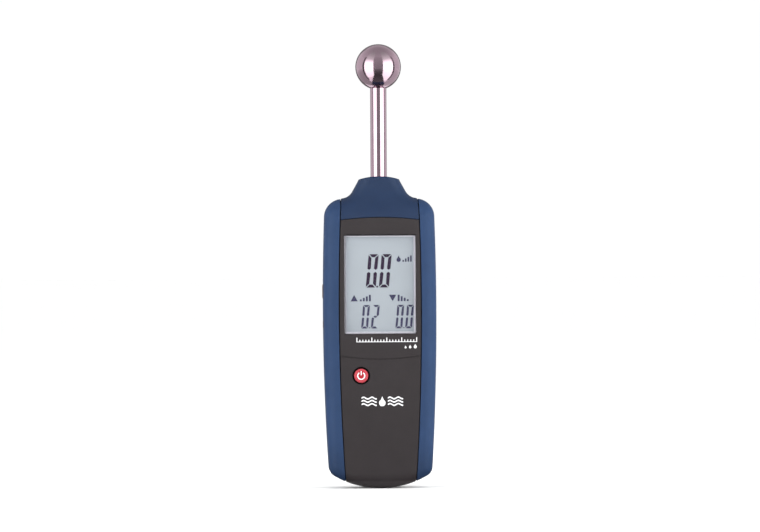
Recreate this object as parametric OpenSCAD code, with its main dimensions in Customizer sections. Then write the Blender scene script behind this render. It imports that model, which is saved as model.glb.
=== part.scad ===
// Hand-held moisture meter with a ball probe.
// +Z runs along the probe, the front faces -Y, and Z = 0 is the bottom of the case.

/* [Case] */
// Width of the case at its widest, over both grips
case_w = 59.7; // [59:0.1:62]
// Depth of the case, front to back
case_d = 28; // [27.6:0.1:30]
// Height of the case at its shoulders
case_h = 153; // [152:0.5:156]
// Height at which the case is widest
widest_z = 95; // [85:1:105]
// Radius of the slightly bowed sides
side_r = 1400; // [1200:50:2500]
// Radius of the curved bottom edge
bottom_r = 49; // [46:1:60]
// Radius of the lower corners
corner_r = 5.5; // [5:0.1:6]
// Radius of the shoulders
shoulder_r = 9.5; // [8:0.5:11]
// Radius of the long edges, seen from above
edge_r = 9; // [8:0.5:10]
// Wall thickness of the hard shells
wall = 2.2; // [2:0.1:2.4]
// Y of the joint between front and rear shell
joint_y = 2; // [1.5:0.1:3]

/* [Grips] */
// Thickness of the soft grip on the side walls
grip_side_t = 1.8; // [1.5:0.1:2]
// Thickness of the soft grip on the front and back
grip_face_t = 1.6; // [1.2:0.1:1.8]
// Width of the grip as seen from the front
grip_strip = 8.2; // [7.5:0.1:9]

/* [Nose] */
// Height of the middle of the nose's top
nose_top_z = 164.8; // [164:0.1:168]
// Height of the border between nose and dark case, in the middle
nose_border_z = 143.1; // [142.5:0.1:144]
// Width of the neck at its top
neck_w = 21.4; // [20:0.1:23]
// Depth of the neck
neck_d = 17.2; // [16:0.1:19]
// Radius of the hollow flare between neck and shoulders
flare_r = 7; // [6:0.1:7.5]

/* [Probe] */
// Height of the top of the ball, which is the overall height
overall_h = 235; // [225:1:245]
// Diameter of the ball
ball_d = 24.2; // [22:0.1:26]
// Diameter of the rod
rod_d = 8.65; // [8:0.05:9.5]
// Diameter of the rod's threaded lower end
stub_d = 6; // [5:0.1:6.5]
// Outside diameter of the insulating bush
bush_d = 12; // [11.5:0.1:13]

/* [Display] */
// Width of the window
window_w = 37.8; // [36:0.1:37.8]
// Height of the window
window_h = 52.3; // [50:0.1:52.3]
// Height of the window's middle
window_z = 107.8; // [107:0.1:108]
// Depth of the window's lens below the front face
lens_recess = 0.4; // [0.2:0.1:0.6]
// Thickness of the lens
lens_t = 1; // [0.8:0.1:1]
// Visible width of the light frame around the display
frame_strip = 1; // [0.6:0.1:1.4]

/* [Keys] */
// Diameter of the round power key
power_d = 7.4; // [7:0.1:8]
// Diameter of the hole that the power key sits in
power_hole_d = 9.2; // [8.6:0.1:9.4]
// Place of the power key across the front
power_x = -10.3; // [-10.6:0.1:-9]
// Height of the power key
power_z = 59.6; // [58.8:0.1:59.9]
// How far the power key stands out of the front
power_proud = 0.6; // [0.3:0.1:1]
// Travel of the power key
power_travel = 0.8; // [0.5:0.1:0.8]
// Travel of the side keys
side_travel = 0.6; // [0.4:0.1:0.6]
// Width of the side keys, front to back
side_key_w = 4; // [3.4:0.1:4.4]

/* [Battery] */
// Width of the battery
battery_w = 26.5; // [25:0.1:26.5]
// Thickness of the battery
battery_t = 17.5; // [16:0.1:17.5]
// Height of the battery without its terminals
battery_h = 46.4; // [45:0.1:46.4]
// Width of the battery door
door_w = 34.4; // [32:0.1:34.4]
// Height of the battery door's upper edge
door_top_z = 58; // [57:0.1:58]

/* [Hidden] */
$fn = 48;
eps = 0.01;
gap = 0.3;
far = 200;

front_y = -case_d / 2;
back_y = case_d / 2;
cavity_side = grip_side_t + wall;
// The rounding of the long edges starts a little outside the flat sides and faces
edge_over = 0.6;
cavity_face = grip_face_t + 1.6;
inner_front_y = front_y + wall;
inner_back_y = back_y - wall;

// Circles that the outline of the case is made of
bottom_c = [0, bottom_r];
side_c = [case_w / 2 - side_r, widest_z];
corner_c = lower_meet(bottom_c, bottom_r - corner_r, side_c, side_r - corner_r);
shoulder_z = case_h - shoulder_r;
shoulder_c = [side_x(shoulder_z, shoulder_r), shoulder_z];

// Nose
border_drop = 1.4;
border_r = (pow(21, 2) + pow(border_drop, 2)) / (2 * border_drop);
dome_r = 44;
nose_corner_r = 1;
flare_c = [20.2, case_h + 0.3 + flare_r];
flare_turn = 27.6;
taper_z0 = 142;
taper_z1 = 160;
front_roll_r = 7;
back_roll_r = 5;

// Display stack, from the front face inwards
lens_y = front_y + lens_recess;
frame_y = lens_y + lens_t;
glass_y = front_y + 3.2;
glass_t = 2.6;
board_y = front_y + 8.4;
board_t = 1.6;
board_back_y = board_y + board_t;
light_t = 2.3;
frame_low_z = window_z - 31.6;
frame_top_z = window_z + 27.4;
frame_half_w = 20;

// Board
board_half_w = 23.6;
board_z0 = 53.5;
board_z1 = frame_top_z;

// Screws
boss_r = 2.9;
boss_x = 17.2;
boss_low_z = 66;
boss_high_z = 138.2;
post_r = 1.8;
board_post_low = [20.8, 73];
board_post_high = [21.9, 128];

// Battery
battery_z = 6.3;
battery_back_y = inner_back_y - 0.4;
battery_y = battery_back_y - battery_t;
battery_mid_y = battery_back_y - battery_t / 2;
battery_top_z = battery_z + battery_h;
terminal_h = 2.1;
terminal_x = 6.35;
snap_z = battery_top_z + 0.4;
snap_h = 4;
pad_t = 1.5;

// Door
door_t = 1.9;
door_y = back_y - door_t;
tongue = 1.3;
tongue_t = 0.8;
rail_inner_x = door_w / 2 - 1;

// Probe fastening
ball_c_z = overall_h - ball_d / 2;
socket_z = ball_c_z - 6.8;
rod_shoulder_z = 152;
roof_z = case_h - cavity_side;
bush_top_z = 162.5;
flange_t = 2;
washer_t = 1;
lug_t = 0.8;
nut_t = 4;
washer_z = roof_z - flange_t - washer_t;
lug_z = washer_z - lug_t;
nut_z = lug_z - nut_t;

// Side keys: [height, length, how far it stands out]
upper_key = [104.1, 8.2, 0.5];
lower_key = [86.7, 5, 0.3];
right_key_size = [105.2, 5.3, 0.2];
side_key_y = board_back_y + 1.8;
switch_tip_x = 23.7;
lead_d = 1.3;
lead_bend_r = 2.5;

function arc(c, r, a0, a1, n) = [
    for (i = [0:n]) c + r * [cos(a0 + (a1 - a0) * i / n), sin(a0 + (a1 - a0) * i / n)]
];

function angle_of(v) = atan2(v[1], v[0]);

function flipped(points) = [for (p = points) [-p[0], p[1]]];

function reversed(points) = [for (i = [len(points) - 1:-1:0]) points[i]];

function mirrored(points) = reversed(flipped(points));

// Drops each point that repeats the next one
function clean(points) = [
    for (i = [0:len(points) - 1])
        if (norm(points[i] - points[(i + 1) % len(points)]) > 0.001) points[i]
];

// Where two circles cross below the line between their centres
function lower_meet(c1, r1, c2, r2) =
    let (
        d = norm(c2 - c1),
        u = (c2 - c1) / d,
        a = (r1 * r1 - r2 * r2 + d * d) / (2 * d),
        h = sqrt(r1 * r1 - a * a)
    )
    c1 + a * u + h * [-u[1], u[0]];

// Half width of the case at a height, less an inset
function side_x(z, inset) = side_c[0] + sqrt(pow(side_r - inset, 2) - pow(z - widest_z, 2));

function smooth(t) = t * t * (3 - 2 * t);

// Right half of the case's outline, from the bottom centre to the top of the shoulder
function half_outline(inset) =
    let (
        a1 = angle_of(corner_c - bottom_c),
        a2 = angle_of(corner_c - side_c),
        a3 = angle_of(shoulder_c - side_c)
    )
    concat(
        arc(bottom_c, bottom_r - inset, -90, a1, 8),
        arc(corner_c, corner_r - inset, a1, a2, 5),
        arc(side_c, side_r - inset, a2, a3, 8),
        arc(shoulder_c, shoulder_r - inset, a3, 90, 7)
    );

function case_outline(inset) = clean(concat(half_outline(inset), mirrored(half_outline(inset))));

// Front edge of the case above the shoulders, tapering to the neck: [depth, height]
function taper(inset) = [
    for (i = [0:8])
        [
            case_d / 2 - inset - (case_d - neck_d) / 2 * smooth(i / 8),
            taper_z0 + (taper_z1 - taper_z0) * i / 8
        ]
];

function depth_profile(inset) = clean(concat(
    arc([front_y + front_roll_r, front_roll_r], front_roll_r - inset, 180, 270, 6),
    arc([back_y - back_roll_r, back_roll_r], back_roll_r - inset, 270, 360, 5),
    taper(inset),
    [[neck_d / 2 - inset, far], [inset - neck_d / 2, far]],
    mirrored(taper(inset))
));

// Seam between the middle band and a grip, from a low to a high height
function seam(z0, z1) = [for (i = [0:6]) [side_x(z0 + (z1 - z0) * i / 6, grip_strip), z0 + (z1 - z0) * i / 6]];

// Right half of the border between nose and dark case, from its middle to the seam
function border() =
    let (half = side_x(nose_border_z - border_drop, grip_strip))
    arc([0, nose_border_z - border_r], border_r, 90, 90 - asin(half / border_r), 5);

function half_nose() =
    let (
        top = arc([0, nose_top_z - dome_r], dome_r, 90, 90 - asin((neck_w / 2 - nose_corner_r) / dome_r), 4),
        corner_mid = [neck_w / 2 - nose_corner_r, top[4][1] - nose_corner_r]
    )
    concat(
        top,
        arc(corner_mid, nose_corner_r, 70, flare_turn, 3),
        arc(flare_c, flare_r, 180 + flare_turn, 270, 6),
        [[side_x(case_h, grip_strip), case_h + 0.3]]
    );

module block(low, high) {
    translate(low) cube(high - low);
}

// Drawn from the front, in X and Z, and given a depth from y0 to y1
module from_front(y0, y1) {
    translate([0, y1, 0]) rotate([90, 0, 0]) linear_extrude(y1 - y0) children();
}

// Drawn from the side, in Y and Z, and given a width from x0 to x1
module from_side(x0, x1) {
    translate([x0, 0, 0]) rotate([90, 0, 90]) linear_extrude(x1 - x0) children();
}

module rod_y(r, x, z, y0, y1) {
    translate([x, y0, z]) rotate([-90, 0, 0]) cylinder(r = r, h = y1 - y0);
}

module rod_x(r, y, z, x0, x1) {
    translate([x0, y, z]) rotate([0, 90, 0]) cylinder(r = r, h = x1 - x0);
}

module rounded_plan(half_w, half_d, r) {
    square([2 * half_w - 2 * r, 2 * half_d], center = true);
    square([2 * half_w, 2 * half_d - 2 * r], center = true);
    for (x = [-1, 1], y = [-1, 1])
        translate([x * (half_w - r), y * (half_d - r)]) circle(r);
}

module rounded_panel(w, h, r) {
    rounded_plan(w / 2, h / 2, r);
}

// The outer shape of the case, less an inset at its sides and one at its faces
module envelope(side_inset, face_inset) {
    intersection() {
        from_front(-far, far) polygon(case_outline(side_inset));
        from_side(-far, far) polygon(depth_profile(face_inset));
        linear_extrude(far)
            rounded_plan(case_w / 2 + edge_over - side_inset, case_d / 2 + edge_over - face_inset,
                edge_r - side_inset);
    }
}

module band() {
    polygon(concat(seam(-5, case_h + 5), mirrored(seam(-5, case_h + 5))));
}

module beyond_seam() {
    polygon(concat(seam(-5, case_h + 5), [[far, case_h + 5], [far, -5]]));
}

module nose_zone() {
    polygon(clean(concat(half_nose(), reversed(border()), flipped(border()), mirrored(half_nose()))));
}

// The hard case under the grips, with the band between the seams at full depth
module core() {
    envelope(grip_side_t, grip_face_t);
    intersection() {
        envelope(0, 0);
        from_front(-far, far) band();
    }
}

module cavity() {
    envelope(cavity_side, cavity_face);
    intersection() {
        envelope(cavity_side, wall);
        block([-18.5, -far, 0], [18.5, far, far]);
    }
}

// The area above the border, where the nose takes over from the shells
module above_border() {
    polygon(clean(concat(
        reversed(border()),
        flipped(border()),
        [[-side_x(case_h, grip_strip), case_h + 0.3], [-15, case_h + 5]],
        [[15, case_h + 5], [side_x(case_h, grip_strip), case_h + 0.3]]
    )));
}

module at_bosses() {
    for (x = [-boss_x, boss_x], z = [boss_low_z, boss_high_z])
        translate([x, 0, z]) children();
}

module at_board_posts() {
    for (side = [-1, 1], p = [board_post_low, board_post_high])
        translate([side * p[0], 0, p[1]]) children();
}

module key_outline(length, width) {
    square([width, length - width], center = true);
    for (z = [-1, 1])
        translate([0, z * (length - width) / 2]) circle(width / 2);
}

module side_key_hole(size, x0, x1) {
    translate([0, side_key_y, size[0]])
        from_side(x0, x1) key_outline(size[1] + 2 * gap, side_key_w + 2 * gap);
}

module all_side_key_holes() {
    side_key_hole(upper_key, -40, -20);
    side_key_hole(lower_key, -40, -20);
    side_key_hole(right_key_size, 20, 40);
}

module front_case() {
    color([0.26, 0.24, 0.25]) difference() {
        union() {
            difference() {
                intersection() {
                    core();
                    block([-far, -far, -1], [far, joint_y, far]);
                }
                cavity();
            }
            // Bosses for the case screws and posts for the board
            at_bosses() rod_y(boss_r, 0, 0, inner_front_y - 0.2, joint_y);
            at_board_posts() rod_y(post_r, 0, 0, inner_front_y - 0.2, board_y);
            // Ribs that the battery's pad rests on
            for (x = [-9, 0, 9])
                block([x - 0.8, inner_front_y - 0.2, 9], [x + 0.8, battery_y - pad_t, 48]);
        }
        from_front(-far, far) above_border();
        at_bosses() rod_y(1.05, 0, 0, inner_front_y + 1, joint_y + 1);
        at_board_posts() rod_y(0.8, 0, 0, inner_front_y + 0.4, board_y + 1);
        translate([0, 0, window_z])
            from_front(front_y - 1, inner_front_y + 1) rounded_panel(window_w, window_h, 0.8);
        // Pocket that the display frame lies in
        block([-frame_half_w - 0.2, inner_front_y, frame_low_z - 0.2],
            [frame_half_w + 0.2, board_y, frame_top_z + 0.2]);
        rod_y(power_hole_d / 2, power_x, power_z, front_y - 1, inner_front_y + 1);
        all_side_key_holes();
        // Shallow curved groove across the front
        translate([0, 0, 68.3 + 130])
            from_front(front_y - 1, front_y + 0.35) difference() {
                circle(130.25, $fn = 180);
                circle(129.75, $fn = 180);
                translate([0, 60]) square(260, center = true);
            }
    }
}

module rear_case() {
    color([0.25, 0.23, 0.24]) difference() {
        union() {
            difference() {
                intersection() {
                    core();
                    block([-far, joint_y, -1], [far, far, far]);
                }
                cavity();
            }
            at_bosses() rod_y(boss_r, 0, 0, joint_y, inner_back_y + 0.2);
            // Rails under the door's edges
            for (side = [-1, 1])
                block([min(side * rail_inner_x, side * 19.4), inner_back_y - 1.4, 6],
                    [max(side * rail_inner_x, side * 19.4), inner_back_y, door_top_z + 1.6]);
            // Wall between the battery and the board
            block([-23, joint_y, door_top_z + 1], [23, inner_back_y + 0.2, door_top_z + 2.4]);
        }
        from_front(-far, far) above_border();
        at_bosses() rod_y(1.4, 0, 0, joint_y - 1, back_y + 1);
        at_bosses() rod_y(2.7, 0, 0, back_y - 3, back_y + 1);
        // Opening that the door closes, and the channels that its tongues run in
        block([-door_w / 2 - gap, inner_back_y, -1], [door_w / 2 + gap, far, door_top_z + gap]);
        block([-door_w / 2 - tongue - gap, inner_back_y, -1],
            [door_w / 2 + tongue + gap, door_y + tongue_t + gap, door_top_z + gap]);
        block([-8 - gap, inner_back_y, -1], [8 + gap, door_y + tongue_t + gap, door_top_z + 2 + gap]);
        // Notch for the battery's leads
        block([-6, -far, door_top_z], [6, 5, door_top_z + 3]);
    }
}

module nose_cap() {
    color([0.22, 0.28, 0.4]) difference() {
        intersection() {
            from_front(-far, far) nose_zone();
            from_front(-far, far) band();
            from_side(-far, far) polygon(depth_profile(0));
            // Rounds the four corners of the neck
            rotate_extrude($fn = 96) polygon([
                [0, 100], [60, 100], [60, 140], [30, 151.5], [20.5, 154.5], [16, 157], [13.6, 160.5],
                [12, 164], [11.6, 170], [0, 170]
            ]);
        }
        cavity();
        cylinder(d = bush_d, h = bush_top_z);
        cylinder(d = rod_d, h = far);
    }
}

module grip() {
    difference() {
        intersection() {
            envelope(0, 0);
            from_front(-far, far) beyond_seam();
        }
        envelope(grip_side_t, grip_face_t);
    }
}

module left_grip() {
    color([0.25, 0.32, 0.45]) difference() {
        mirror([1, 0, 0]) grip();
        all_side_key_holes();
    }
}

module right_grip() {
    color([0.25, 0.32, 0.45]) difference() {
        grip();
        all_side_key_holes();
    }
}

module display_window() {
    color([0.85, 0.9, 0.95, 0.4]) translate([0, 0, window_z])
        from_front(lens_y, frame_y) rounded_panel(window_w - 0.2, window_h - 0.2, 0.7);
}

module display_frame() {
    color([0.78, 0.79, 0.82]) difference() {
        union() {
            translate([0, 0, window_z])
                from_front(frame_y, inner_front_y + eps) rounded_panel(window_w - 0.2, window_h - 0.2, 0.7);
            block([-frame_half_w, inner_front_y, frame_low_z], [frame_half_w, glass_y, frame_top_z]);
        }
        translate([0, 0, window_z])
            from_front(-far, far)
                square([window_w - 0.2 - 2 * frame_strip, window_h - 0.2 - 2 * frame_strip], center = true);
    }
}

module lcd_panel() {
    color([0.72, 0.74, 0.78])
        block([-19.6, glass_y, frame_low_z + 0.4], [19.6, glass_y + glass_t, frame_top_z - 0.4]);
}

module backlight_panel() {
    color([0.92, 0.93, 0.9])
        block([-19, glass_y + glass_t, frame_low_z + 5], [19, glass_y + glass_t + light_t, frame_top_z - 0.8]);
}

module display_contacts() {
    color([0.9, 0.55, 0.6])
        block([-18, glass_y + glass_t, frame_low_z + 1], [18, board_y, frame_low_z + 3.4]);
}

module power_key() {
    color([0.8, 0.3, 0.33]) {
        rod_y(power_d / 2, power_x, power_z, front_y - power_proud, inner_front_y + gap);
        rod_y(5.2, power_x, power_z, inner_front_y + gap, inner_front_y + gap + 0.8);
    }
}

// A key on the edge of the case, with a flange behind the wall; side is -1 or 1
module side_key(size, side) {
    outer_x = side_x(size[0], 0) + size[2];
    flange_x = side_x(size[0], cavity_side) - gap;
    scale([side, 1, 1]) translate([0, side_key_y, size[0]]) {
        from_side(flange_x - eps, outer_x) key_outline(size[1], side_key_w);
        from_side(flange_x - 0.9, flange_x) key_outline(size[1] + 1.8, side_key_w + 1.8);
    }
}

module left_key_upper() {
    color([0.3, 0.27, 0.27]) mirror([1, 0, 0]) side_key(upper_key, 1);
}

module left_key_lower() {
    color([0.3, 0.27, 0.27]) mirror([1, 0, 0]) side_key(lower_key, 1);
}

module right_key() {
    color([0.3, 0.27, 0.27]) side_key(right_key_size, 1);
}

module probe_ball() {
    color([0.72, 0.68, 0.7]) difference() {
        translate([0, 0, ball_c_z]) sphere(d = ball_d, $fn = 96);
        cylinder(d = rod_d, h = socket_z);
    }
}

module probe_rod() {
    color([0.72, 0.68, 0.7]) {
        translate([0, 0, rod_shoulder_z]) cylinder(d = rod_d, h = socket_z - rod_shoulder_z);
        translate([0, 0, nut_z - 0.7]) cylinder(d = stub_d, h = rod_shoulder_z - nut_z + 0.7);
    }
}

module probe_bush() {
    color([0.92, 0.91, 0.86]) difference() {
        union() {
            translate([0, 0, roof_z - flange_t]) cylinder(d = 16, h = flange_t);
            translate([0, 0, roof_z - eps]) cylinder(d = bush_d, h = bush_top_z - roof_z + eps);
        }
        cylinder(d = stub_d, h = far);
        translate([0, 0, rod_shoulder_z]) cylinder(d = rod_d, h = far);
    }
}

module probe_washer() {
    color([0.75, 0.75, 0.76]) translate([0, 0, washer_z]) difference() {
        cylinder(d = 11, h = washer_t);
        translate([0, 0, -1]) cylinder(d = stub_d, h = 3);
    }
}

module solder_lug() {
    color([0.85, 0.8, 0.6]) translate([0, 0, lug_z]) difference() {
        union() {
            cylinder(d = 10, h = lug_t);
            block([-2, 0, 0], [2, 8.4, lug_t]);
        }
        translate([0, 0, -1]) cylinder(d = stub_d, h = 3);
        translate([0, 7, -1]) cylinder(d = lead_d, h = 3);
    }
}

module probe_nut() {
    color([0.75, 0.75, 0.76]) translate([0, 0, nut_z]) difference() {
        cylinder(d = 11, h = nut_t, $fn = 6);
        translate([0, 0, -1]) cylinder(d = stub_d, h = nut_t + 2);
    }
}

// A lead that runs along Z at (x, y) and turns to the board at height z_bend
module lead(x, y, z_start, z_bend) {
    up = z_bend > z_start ? 1 : -1;
    low = min(z_start, z_bend - up * lead_bend_r);
    high = max(z_start, z_bend - up * lead_bend_r);
    translate([x, y, low]) cylinder(d = lead_d, h = high - low, $fn = 24);
    translate([x, y - lead_bend_r, z_bend - up * lead_bend_r])
        rotate([90, 0, 90]) rotate_extrude(angle = up * 90, $fn = 48)
            translate([lead_bend_r, 0]) circle(d = lead_d, $fn = 24);
    rod_y(lead_d / 2, x, z_bend, board_back_y, y - lead_bend_r);
}

module sensor_wire() {
    color([0.85, 0.85, 0.88]) lead(0, 7, lug_z, 131);
}

module main_board() {
    color([0.1, 0.36, 0.2]) difference() {
        block([-board_half_w, board_y, board_z0], [board_half_w, board_back_y, board_z1]);
        for (x = [-boss_x, boss_x])
            rod_y(boss_r + gap, x, boss_low_z, board_y - 1, board_back_y + 1);
        at_board_posts() rod_y(1.1, 0, 0, board_y - 1, board_back_y + 1);
    }
}

// A part with legs, on the back of the board, centred at (x, z)
module chip(x, z, w, h, t) {
    block([x - w / 2, board_back_y + 0.1, z - h / 2], [x + w / 2, board_back_y + t, z + h / 2]);
    legs = floor(h / 1.27);
    for (i = [1:legs], side = [-1, 1])
        translate([x + side * w / 2, board_back_y + 0.2, z - h / 2 + (i - 0.5) * h / legs])
            cube([1.8, 0.4, 0.5], center = true);
}

module processor_chip() {
    color([0.12, 0.12, 0.13]) chip(-6, 92, 12, 12, 1.6);
}

module sensor_chip() {
    color([0.12, 0.12, 0.13]) chip(-8, 122, 5, 6.4, 1.5);
}

module clock_crystal() {
    color([0.8, 0.8, 0.82]) for (x = [-1, 1])
        rod_y(1.9, 9 + x * 3.2, 92, board_back_y, board_back_y + 3.5);
    color([0.8, 0.8, 0.82])
        block([5.8, board_back_y, 90.1], [12.2, board_back_y + 3.5, 93.9]);
}

module filter_capacitors() {
    color([0.15, 0.17, 0.3]) for (x = [0, 9])
        rod_y(2.5, x, 76, board_back_y, board_back_y + 5.4);
}

module alarm_buzzer() {
    color([0.1, 0.1, 0.1]) difference() {
        rod_y(6, 8, 112, board_back_y, board_back_y + 5.5);
        rod_y(0.9, 8, 112, board_back_y + 4, board_back_y + 6);
    }
}

module power_switch() {
    tip_y = inner_front_y + gap + 0.8 + power_travel + gap;
    color([0.2, 0.2, 0.22]) {
        block([power_x - 3, tip_y + 0.6, power_z - 3], [power_x + 3, board_y, power_z + 3]);
        rod_y(1.7, power_x, power_z, tip_y, tip_y + 0.6 + eps);
    }
}

// A switch on the board's edge, lying on its side
module edge_switch(z) {
    block([switch_tip_x - 4.6, board_back_y, z - 3], [switch_tip_x - 0.7, board_back_y + 3.6, z + 3]);
    rod_x(1.3, side_key_y, z, switch_tip_x - 0.7 - eps, switch_tip_x);
}

module left_switch_upper() {
    color([0.2, 0.2, 0.22]) mirror([1, 0, 0]) edge_switch(upper_key[0]);
}

module left_switch_lower() {
    color([0.2, 0.2, 0.22]) mirror([1, 0, 0]) edge_switch(lower_key[0]);
}

module right_switch() {
    color([0.2, 0.2, 0.22]) edge_switch(right_key_size[0]);
}

module battery() {
    color([0.2, 0.2, 0.22]) translate([0, battery_mid_y, battery_z])
        linear_extrude(battery_h) rounded_plan(battery_w / 2, battery_t / 2, 2);
}

module battery_terminals() {
    color([0.8, 0.8, 0.8]) for (side = [-1, 1])
        translate([side * terminal_x, battery_mid_y, battery_top_z])
            cylinder(d = side > 0 ? 5.8 : 8.4, h = terminal_h, $fn = side > 0 ? 48 : 6);
}

module battery_snap() {
    color([0.1, 0.1, 0.1]) difference() {
        translate([0, battery_mid_y, snap_z]) linear_extrude(snap_h) rounded_plan(13, 6, 3);
        for (side = [-1, 1])
            translate([side * terminal_x, battery_mid_y, snap_z - 1]) cylinder(d = 9, h = terminal_h + 1);
    }
}

module red_lead() {
    color([0.75, 0.1, 0.1]) lead(3.5, battery_mid_y, snap_z + snap_h, 68);
}

module black_lead() {
    color([0.08, 0.08, 0.08]) lead(-3.5, battery_mid_y, snap_z + snap_h, 68);
}

module battery_pad() {
    color([0.3, 0.3, 0.32]) block([-11, battery_y - pad_t, 12], [11, battery_y, 44]);
}

module battery_door() {
    color([0.26, 0.24, 0.25]) {
        difference() {
            intersection() {
                envelope(0, 0);
                block([-door_w / 2, door_y, 0], [door_w / 2, far, door_top_z]);
            }
            // Finger ridges
            for (z = [44:2.4:54])
                translate([0, back_y + 0.6, z]) rotate([0, 90, 0]) cylinder(r = 1, h = 18, center = true);
        }
        block([-door_w / 2 - tongue, door_y, 7], [door_w / 2 + tongue, door_y + tongue_t, door_top_z]);
        block([-8, door_y, door_top_z - 1], [8, door_y + tongue_t, door_top_z + 2]);
    }
}

module screw(head_d, head_t, shank_d, length) {
    rotate([-90, 0, 0]) difference() {
        union() {
            translate([0, 0, -length]) cylinder(d = shank_d, h = length + eps);
            cylinder(d = head_d, h = head_t);
        }
        for (a = [0, 90])
            rotate([0, 0, a]) translate([-head_d / 3, -0.35, head_t - 0.8]) cube([head_d / 1.5, 0.7, 2]);
    }
}

module case_screws() {
    color([0.3, 0.3, 0.32]) at_bosses() translate([0, back_y - 3, 0]) screw(5, 1.8, 2.1, 18);
}

module board_screws() {
    color([0.78, 0.78, 0.8]) at_board_posts() translate([0, board_back_y, 0]) screw(3.6, 1.4, 1.6, 6);
}

front_case();
rear_case();
nose_cap();
left_grip();
right_grip();
display_window();
display_frame();
lcd_panel();
backlight_panel();
display_contacts();
power_key();
left_key_upper();
left_key_lower();
right_key();
probe_ball();
probe_rod();
probe_bush();
probe_washer();
solder_lug();
probe_nut();
sensor_wire();
main_board();
processor_chip();
sensor_chip();
clock_crystal();
filter_capacitors();
alarm_buzzer();
power_switch();
left_switch_upper();
left_switch_lower();
right_switch();
battery();
battery_terminals();
battery_snap();
red_lead();
black_lead();
battery_pad();
battery_door();
case_screws();
board_screws();
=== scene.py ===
"""Looks of the hand-held moisture meter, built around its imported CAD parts.

Lengths are in millimetres until a mesh is finished. The front faces -Y, and +Z runs along the probe.
The studio's lengths are in metres.
"""

import math

import bmesh
import bpy
from mathutils import Matrix, Quaternion, Vector


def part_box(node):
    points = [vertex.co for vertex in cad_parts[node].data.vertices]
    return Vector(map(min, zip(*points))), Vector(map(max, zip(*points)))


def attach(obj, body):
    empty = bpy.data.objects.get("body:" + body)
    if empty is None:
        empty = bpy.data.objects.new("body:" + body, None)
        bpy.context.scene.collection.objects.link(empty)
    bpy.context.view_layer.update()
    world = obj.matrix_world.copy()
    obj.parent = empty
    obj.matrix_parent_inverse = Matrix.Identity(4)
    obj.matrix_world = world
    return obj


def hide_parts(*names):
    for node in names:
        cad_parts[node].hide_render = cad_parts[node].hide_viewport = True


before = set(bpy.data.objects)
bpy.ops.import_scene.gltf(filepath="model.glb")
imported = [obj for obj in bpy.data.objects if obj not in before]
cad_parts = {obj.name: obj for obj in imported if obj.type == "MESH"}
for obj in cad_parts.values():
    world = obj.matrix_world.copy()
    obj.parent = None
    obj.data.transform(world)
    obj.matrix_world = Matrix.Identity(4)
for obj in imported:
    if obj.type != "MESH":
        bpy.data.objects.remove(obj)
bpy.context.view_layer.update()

MM = 0.001

# Case, as in the CAD source
CASE_W = 59.7
FRONT_Y = -14.0
BACK_Y = 14.0
WIDEST_Z = 95.0
SIDE_R = 1400.0
BOTTOM_R = 49.0
CORNER_R = 5.5
SHOULDER_R = 9.5
SHOULDER_Z = 143.5
WALL = 2.2
JOINT_Y = 2.0
JOINT_GAP = 0.08
GRIP_SIDE = 1.8
GRIP_FACE = 1.6
GRIP_STRIP = 8.2
INNER_FRONT_Y = FRONT_Y + WALL
INNER_BACK_Y = BACK_Y - WALL

# Nose
NOSE_TOP_Z = 164.8
BORDER_Z = 143.1
BORDER_DROP = 1.4
BORDER_R = (21.0**2 + BORDER_DROP**2) / (2 * BORDER_DROP)
DOME_R = 44.0
FLARE_C = (20.2, 160.3)
FLARE_R = 7.0
FLARE_TURN = 27.6
NECK_LOW = (14.0, 157.06)
NECK_HIGH = (10.59, 163.18)
NECK_DEPTH = 8.6
TAPER_Z = (142.0, 160.0)
BROW = 0.9
NOSE_WALL = 2.0

# Groove across the front, part of a wide ring
GROOVE_R = 130.0
GROOVE_CENTRE_Z = 198.3
GROOVE_HALF_W = 0.3
GROOVE_DEPTH = 0.4
GROOVE_TURN = 14

# Display and keys
WINDOW_W = 37.8
WINDOW_H = 52.3
WINDOW_Z = 107.8
LENS_Y = -13.6
LENS_T = 1.0
GLASS_Y = -10.8
POWER = (-10.3, 59.6)
POWER_R = 3.7
POWER_HOLE_R = 4.6
POWER_TOP_Y = -14.6
# Height, length, how far it stands out, side and body of each side key
SIDE_KEYS = {
    "left_key_upper": (104.1, 8.2, 0.5, -1, "upper_left_button"),
    "left_key_lower": (86.7, 5.0, 0.3, -1, "lower_left_button"),
    "right_key": (105.2, 5.3, 0.2, 1, "right_button"),
}
SIDE_KEY_W = 4.0
SIDE_KEY_Y = -2.2
KEY_GAP = 0.3

# Back
DOOR_W = 34.4
DOOR_TOP_Z = 58.0
DOOR_Y = 12.1
TONGUE = 1.3
TONGUE_T = 0.8
RAIL_X = (16.2, 19.4)
BOSS_X = 17.2
BOSS_Z = (66.0, 138.2)
BOSS_R = 3.1
BOSS_END_Y = 11.9
SCREW_SEAT_Y = 11.0
COUNTERBORE_R = 2.7
FINGER_GROOVES = 5
FINGER_PITCH = 2.7
FINGER_LOW_Z = 42.5
FINGER_REACH = 9.0

# Probe
BALL_R = 12.1
BALL_Z = 222.9
ROD_R = 4.325
ROD_LOW_Z = 152.0
STUB_R = 3.0
STUB_LOW_Z = 140.5
SOCKET_Z = BALL_Z - 6.8

# Gaps between the pieces and the rounding of their edges
HALF_GAP = 0.27
BORDER_GAP = 0.1
LIP = 0.28
EDGE = HALF_GAP + LIP
BORDER_EDGE = BORDER_GAP + LIP


# ---- outline and body


def turn(degrees):
    """Cosine and sine of an angle."""
    return math.cos(math.radians(degrees)), math.sin(math.radians(degrees))


def smooth(t):
    """Eases from 0 to 1."""
    t = min(max(t, 0.0), 1.0)
    return t * t * (3 - 2 * t)


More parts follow.
